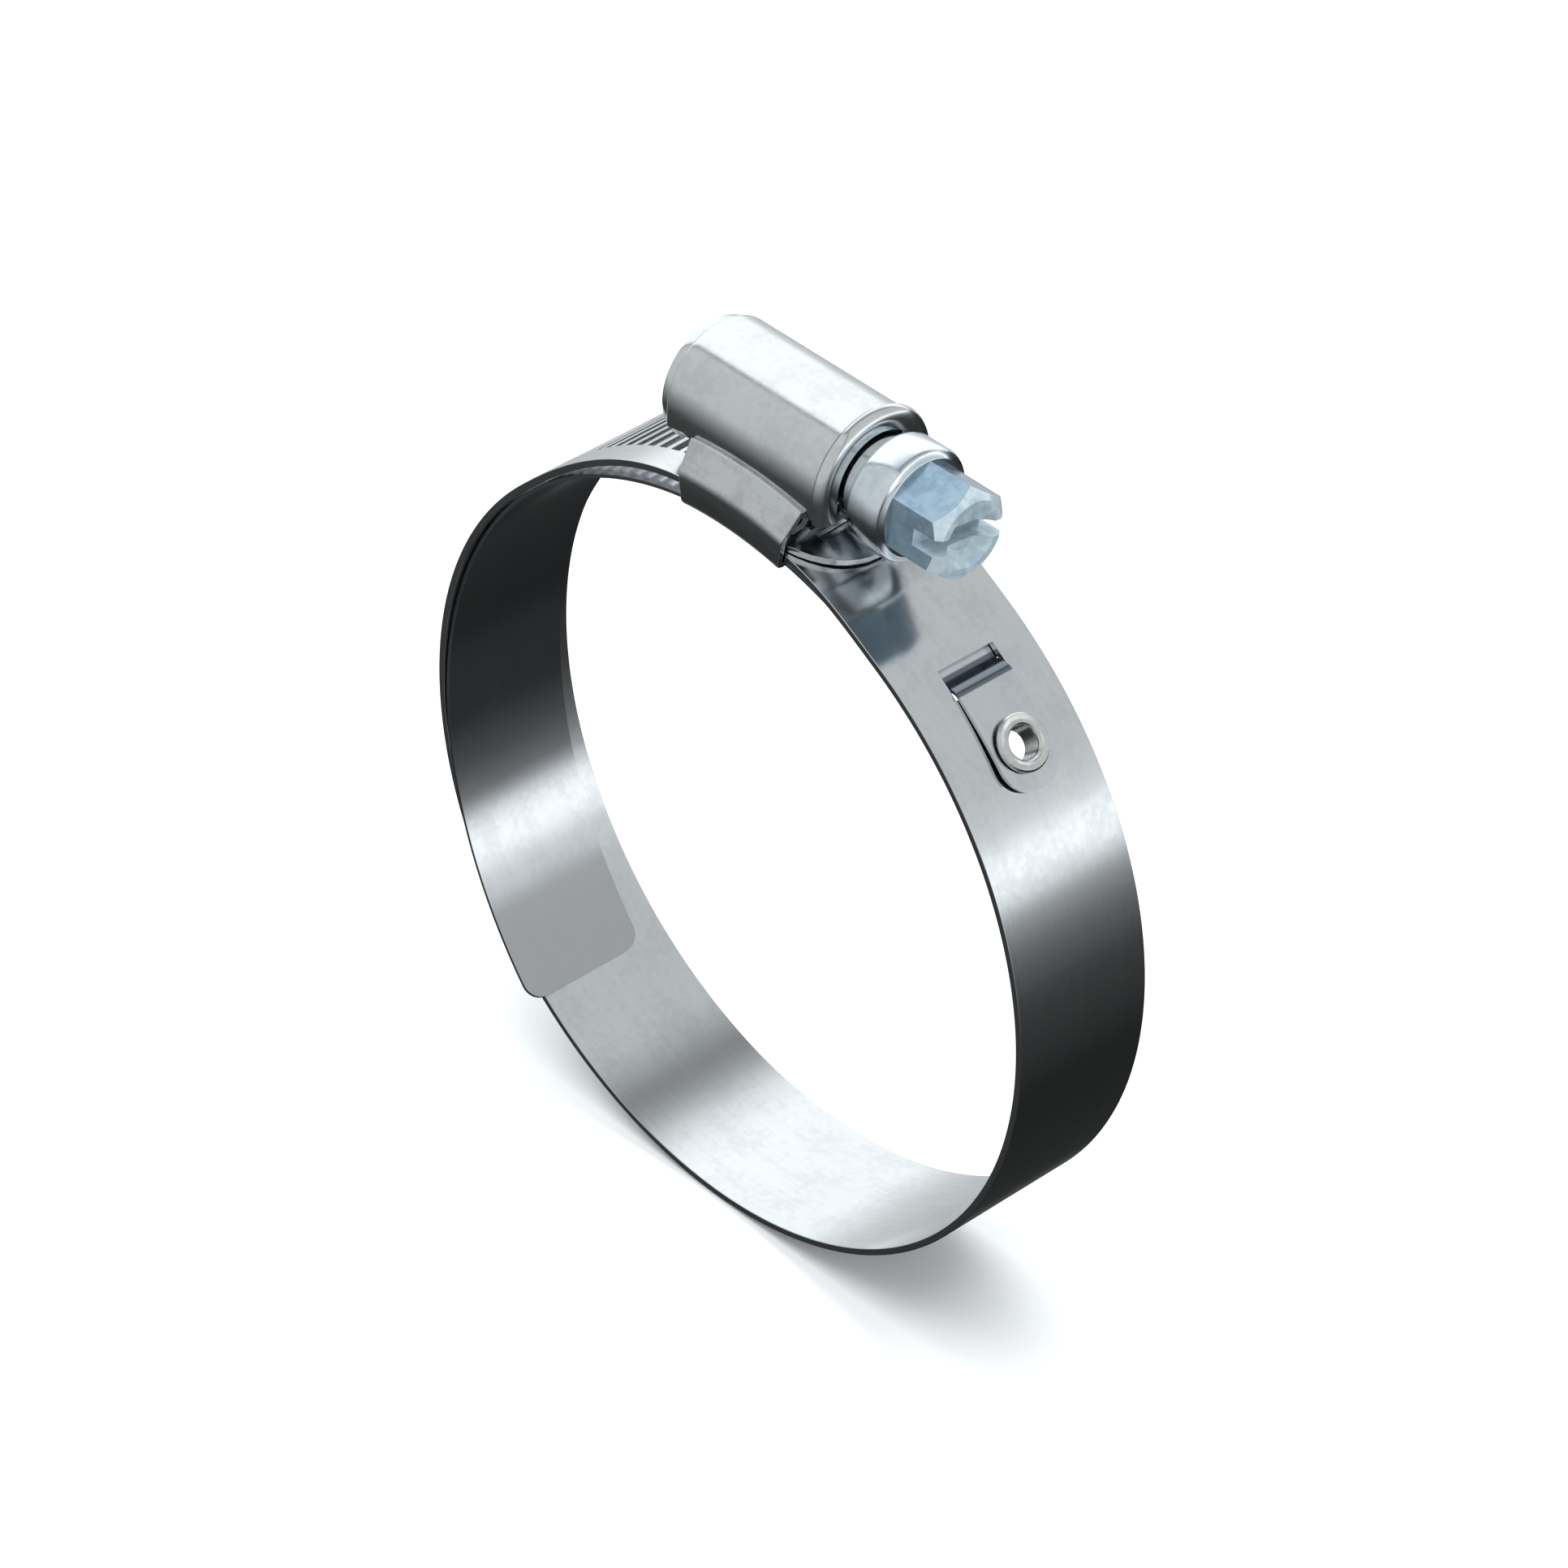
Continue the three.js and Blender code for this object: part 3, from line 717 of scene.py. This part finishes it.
# ---- Housing ----
# An arched cover, pressed from one sheet. Its feet turn outwards under the saddle's lips. The rear
# end is closed, with a boss that the screw bears on; a rolled bead stiffens the front end.
screw_joint = next(joint for joint in frame["joints"] if joint["name"] == "screw_turn")
screw_height = screw_joint["pos_m"][2] / MM
cover_radius, cover_wall = 6.0, 0.8
cover_rear, cover_front = -8.4, 9.0
boss_radius, boss_length, boss_edge, boss_bottom = 5.6, 1.2, 0.5, 38.2
boss_groove, boss_bevel, turned_steps = 0.25, 0.1, 96
neck_room = 4.45
groove_radius, groove_length = 5.7, 0.35
bead_radius, bead_length, bead_round, bead_slope = 6.299, 0.95, 0.9, 1.1
rear_edge, rear_edge_steps, bead_steps = 0.2, 4, 6
foot_radius = 39.5
leg_end_radius = 41.2
leg_margin, leg_fade = 0.4, 0.8
foot_half, foot_margin = 6.5, 0.3
arch_steps = 40
body_steps = 44
cover_stations = [(cover_rear, 0)]
for turn in range(rear_edge_steps + 1):
    share = turn * pi / 2 / rear_edge_steps
    cover_stations.append(
        (cover_rear + rear_edge * (1 - cos(share)), cover_radius - rear_edge * (1 - sin(share)))
    )
body_start = cover_rear + rear_edge
for number in range(1, body_steps + 1):
    place = body_start + (cover_front - body_start) * number / body_steps
    cover_stations.append((place, cover_radius))
bead_start = cover_front + groove_length
bead_end = bead_start + bead_length
cover_stations += [
    (cover_front, groove_radius),
    (bead_start, groove_radius),
    (bead_start, bead_radius),
]
for turn in range(bead_steps + 1):
    share = turn * pi / 2 / bead_steps
    cover_stations.append(
        (bead_end - bead_round * (1 - sin(share)), bead_radius - bead_slope * (1 - cos(share)))
    )
cover_stations.append((bead_end, neck_room))


def leg_bottom(x):
    """The height of the legs' lower edge: on the feet, and raised clear of the band past them."""
    angle = degrees(atan(x / foot_radius))
    past = max(saddle_start + leg_margin - angle, angle - saddle_end + leg_margin, 0)
    radius = foot_radius + (leg_end_radius - foot_radius) * smooth(0, leg_fade, past)
    return sqrt(radius**2 - x**2)


def arch_points(x, radius):
    """The end view of the cover at one station: foot, leg, round top, leg, foot."""
    low = leg_bottom(x)
    right_leg = [(x, radius, low + (screw_height - low) * share) for share in (0, 0.5)]
    turns = [pi * number / arch_steps for number in range(arch_steps + 1)]
    top = [(x, radius * cos(turn), screw_height + radius * sin(turn)) for turn in turns]
    left_leg = [(x, -y, z) for x, y, z in reversed(right_leg)]
    return right_leg + top + left_leg


cover = bmesh.new()
rows = [[cover.verts.new(point) for point in arch_points(*station)] for station in cover_stations]
for first, second in zip(rows, rows[1:]):
    for number in range(len(first) - 1):
        cover.faces.new((first[number], first[number + 1], second[number + 1], second[number]))
foot_start, foot_end = (
    foot_radius * sin(radians(angle))
    for angle in (saddle_start + foot_margin, saddle_end - foot_margin)
)
for index, side in ((0, 1), (-1, -1)):
    bend = [row[index] for row in rows if foot_start < row[index].co.x < foot_end]
    tips = [cover.verts.new((vert.co.x, side * foot_half, vert.co.z)) for vert in bend]
    for corners in zip(bend, bend[1:], tips[1:], tips):
        cover.faces.new(corners)
bmesh.ops.remove_doubles(cover, verts=cover.verts, dist=near)
bmesh.ops.recalc_face_normals(cover, faces=cover.faces)
top_face = max(cover.faces, key=lambda face: face.calc_center_median().z)
if top_face.normal.z < 0:
    bmesh.ops.reverse_faces(cover, faces=cover.faces)
housing = finish_piece("housing_cover", cover, cover_wall, pressed_edge, pressed_edge_steps, -1)
boss_profile = [
    (0, cover_rear - boss_length),
    (boss_radius - boss_edge, cover_rear - boss_length),
    (boss_radius - 0.15 * boss_edge, cover_rear - boss_length + 0.4 * boss_edge),
    (boss_radius, cover_rear - boss_length + boss_edge),
    (boss_radius, cover_rear - boss_groove),
    (boss_radius - boss_groove, cover_rear),
    (boss_radius - boss_groove, cover_rear + cover_wall / 2),
    (0, cover_rear + cover_wall / 2),
]
boss_shape = spun(boss_profile, turned_steps, (1, 0, 0), closed=False)
bmesh.ops.translate(boss_shape, vec=(0, 0, screw_height), verts=boss_shape.verts)
everything = boss_shape.verts[:] + boss_shape.edges[:] + boss_shape.faces[:]
bmesh.ops.bisect_plane(
    boss_shape, geom=everything, plane_co=(0, 0, boss_bottom), plane_no=(0, 0, -1), clear_outer=True
)
bmesh.ops.holes_fill(boss_shape, edges=[edge for edge in boss_shape.edges if edge.is_boundary])
boss = finish_piece("housing_boss", boss_shape, 0, boss_bevel, pressed_edge_steps)
boss.data.set_sharp_from_angle(angle=fold_limit)
light_cover, dark_cover = (0.72, 0.73, 0.73, 1), (0.65, 0.66, 0.67, 1)
brushed_grain = (900, 1800, 1800)
cover_steel = steel("pressed_cover_steel", light_cover, dark_cover, 0.18, brushed_grain, 1.2e-6, 0.08)
for piece in (housing, boss):
    piece.data.materials.append(cover_steel)
    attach(piece, "clamp")
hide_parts("housing")

# ---- Screw ----
# One steel piece, plated with bright zinc: a worm, a neck, a round collar and a hexagon with a
# turned end, a dish and a slot for a flat blade.
screw_rear, worm_end = -7.3, 7.9
core, worm, neck = 3.7, 4.75, 4.1
collar_start, collar_radius, collar_length, collar_cone = 11.7, 5.1, 3.7, 0.3
hex_flats, hex_length, hex_turn = 7.6, 5.4, radians(-7)
hex_corner = hex_flats / sqrt(3)
hex_start = collar_start + collar_length + collar_cone
hex_end = hex_start + hex_length
shank_chamfer, collar_edge, fine_edge, cone_sink = 0.6, 0.5, 0.15, 0.05
dish_lip, dish_lip_depth = 0.35, 0.45
slope, top_radius = 1.1, hex_corner - 1.05
dish_radius, dish_depth = 2.7, 1.1
blade_width, blade_depth = 1.5, 2.8
side_steps = 12

shank_profile = [
    (0, screw_rear),
    (core - shank_chamfer, screw_rear),
    (core, screw_rear + shank_chamfer),
    (core, worm_end),
    (neck, worm_end),
    (neck, collar_start),
    (collar_radius - collar_edge, collar_start),
    (collar_radius - fine_edge, collar_start + fine_edge),
    (collar_radius, collar_start + collar_edge),
    (collar_radius, collar_start + collar_length - collar_edge),
    (collar_radius - fine_edge, collar_start + collar_length - fine_edge),
    (collar_radius - 3 * fine_edge, collar_start + collar_length),
    (hex_corner, hex_start - cone_sink),
    (0, hex_start - cone_sink),
]
shank = spun(shank_profile, turned_steps, (1, 0, 0), closed=False)

# The hexagon: rings of points along the screw, six sides of equal steps, round from the chamfer on.
head = bmesh.new()
count = 6 * side_steps


def side_point(number):
    """A point on the hexagon's first side, at one of its steps."""
    share = (number % side_steps) / side_steps
    corner_a = Vector((hex_corner, 0))
    corner_b = Vector((hex_corner * cos(pi / 3), hex_corner * sin(pi / 3)))
    return corner_a.lerp(corner_b, share)


def head_ring(radius, place):
    """One ring of the head; radius None follows the hexagon, and place may be a function."""
    ring_points = []
    for number in range(count):
        sixth = number // side_steps * pi / 3
        point = Matrix.Rotation(sixth, 2) @ side_point(number)
        if radius is not None:
            point = point.normalized() * radius
        point = Matrix.Rotation(pi / 2 + hex_turn, 2) @ point
        x = place(point.length) if callable(place) else place
        ring_points.append((x, point.x, point.y))
    return ring_points


head_rings = [
    head_ring(None, hex_start - collar_cone),
    head_ring(None, lambda radius: hex_end - (radius - top_radius) / slope),
    head_ring(top_radius, hex_end),
    head_ring(dish_radius, hex_end),
    head_ring(dish_radius - dish_lip, hex_end - dish_lip_depth),
    head_ring(dish_radius - dish_depth, hex_end - dish_depth),
]
rows = [[head.verts.new(point) for point in points] for points in head_rings]
for ring_row in rows:
    for number in range(count):
        head.edges.new((ring_row[number], ring_row[(number + 1) % count]))
for first, second in zip(rows, rows[1:]):
    loops = [e for e in head.edges if all(v in first for v in e.verts) or all(v in second for v in e.verts)]
    bmesh.ops.bridge_loops(head, edges=loops)
bmesh.ops.contextual_create(head, geom=rows[0])
bmesh.ops.contextual_create(head, geom=rows[-1])
bmesh.ops.recalc_face_normals(head, faces=head.faces)

# The blade's slot is sawn across the end: two cuts and a floor, then the walls are filled in.
blade_normal = Vector((0, -sin(hex_turn), cos(hex_turn)))
slot_floor = hex_end - blade_depth
for side in (-1, 1):
    cut_line(head, blade_normal * side * blade_width / 2, blade_normal)
cut_line(head, (slot_floor, 0, 0), (1, 0, 0))


def in_blade_slot(centre):
    return centre.x > slot_floor and abs(centre.dot(blade_normal)) < blade_width / 2


def on_slot_wall(edge, side):
    wall = side * blade_width / 2
    return all(abs(vert.co.dot(blade_normal) - wall) < near for vert in edge.verts)


def on_slot_floor(edge):
    return all(abs(vert.co.x - slot_floor) < near for vert in edge.verts)


drop_faces(head, in_blade_slot)
for side in (-1, 1):
    wall_edges = [e for e in head.edges if e.is_boundary and on_slot_wall(e, side)]
    ends = [v for e in wall_edges for v in e.verts if abs(v.co.x - slot_floor) < near]
    wall_edges.append(head.edges.new(ends[:2]))
    bmesh.ops.contextual_create(head, geom=wall_edges)
floor_edges = [e for e in head.edges if len(e.link_faces) == 1 and on_slot_floor(e)]
bmesh.ops.contextual_create(head, geom=floor_edges)
bmesh.ops.recalc_face_normals(head, faces=head.faces)

# The worm's thread: its section is carried round the screw and one pitch along for each turn.
thread = bmesh.new()
thread_root, thread_crest = 0.8, 0.3
thread_foot = core - 0.2
thread_gap = 0.2
turn_steps = 48
thread_section = [
    (-thread_root, thread_foot),
    (-thread_crest, worm),
    (thread_crest, worm),
    (thread_root, thread_foot),
]
slot_place = pitch_radius * sin(radians(first_slot - round(first_slot / pitch_angle) * pitch_angle))
loop_end = (tail_inner + band_thickness) * sin(radians(parting - parting_gap))
thread_rear = max(screw_rear, loop_end) + thread_gap + thread_root / 2
whole_turns = floor((slot_place - thread_rear) / slot_pitch)
thread_start = slot_place - whole_turns * slot_pitch + slot_pitch / 4
thread_turns = floor((worm_end - thread_root / 2 - thread_start) / slot_pitch)
corners = [thread.verts.new((thread_start + x / 2, radius, 0)) for x, radius in thread_section]
edges = [thread.edges.new(pair) for pair in zip(corners, corners[1:] + corners[:1])]
first_face = thread.faces.new(corners)
bmesh.ops.spin(
    thread,
    geom=[first_face],
    cent=(0, 0, 0),
    axis=(1, 0, 0),
    dvec=(slot_pitch / turn_steps, 0, 0),
    angle=2 * pi * thread_turns,
    steps=turn_steps * thread_turns,
    use_merge=False,
)
bmesh.ops.recalc_face_normals(thread, faces=thread.faces)

# Bright zinc on the turned parts. The hexagon has two copies of it: a darker, bluer one on its sides, which
# is painted shade, and a lighter, duller one on the end, which is painted light.
plate_grain = (1100, 1100, 1100)
zinc_light, zinc_dark = (0.78, 0.83, 0.87, 1), (0.64, 0.7, 0.76, 1)
flat_light, flat_dark, flat_metal = (0.26, 0.36, 0.44, 1), (0.18, 0.26, 0.34, 1), 0.6
end_light, end_dark, end_metal = (0.52, 0.61, 0.66, 1), (0.33, 0.42, 0.48, 1), 0.35
zinc = steel("bright_zinc_plate", zinc_light, zinc_dark, 0.17, plate_grain, 2e-6)
flats_zinc_painted_shade = steel("blue_zinc_flats", flat_light, flat_dark, 0.22, plate_grain, 2e-6)
end_zinc_painted_light = steel("turned_zinc_end", end_light, end_dark, 0.22, plate_grain, 4e-6)
for plating, metal in ((end_zinc_painted_light, end_metal), (flats_zinc_painted_shade, flat_metal)):
    plating.node_tree.nodes["Principled BSDF"].inputs["Metallic"].default_value = metal


def faces_end(face):
    """Whether a face of the head belongs to its turned end or to the slot's walls."""
    off_middle = abs(face.calc_center_median().dot(blade_normal))
    squarely = abs(face.normal.dot(blade_normal)) > 0.9
    return abs(face.normal.x) > 0.3 or squarely and abs(off_middle - blade_width / 2) < cone_sink


# The end and the slot's walls take the lighter copy, painted light; the sides take the darker blue one,
# painted shade.
for face in head.faces:
    face.material_index = 1 if faces_end(face) else 0
shank_edge, head_edge, screw_edge_steps = 0.08, 0.14, 3
screw_parts = (
    ("screw_shank", shank, shank_edge, [zinc]),
    ("screw_hexagon", head, head_edge, [flats_zinc_painted_shade, end_zinc_painted_light]),
    ("screw_worm", thread, 0, [zinc]),
)
for name, part_shape, edge, platings in screw_parts:
    bmesh.ops.translate(part_shape, vec=(0, 0, screw_height), verts=part_shape.verts)
    piece = finish_piece(name, part_shape, 0, edge, screw_edge_steps)
    for plating in platings:
        piece.data.materials.append(plating)
    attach(piece, "screw")
    if name == "screw_shank":
        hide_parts("screw")
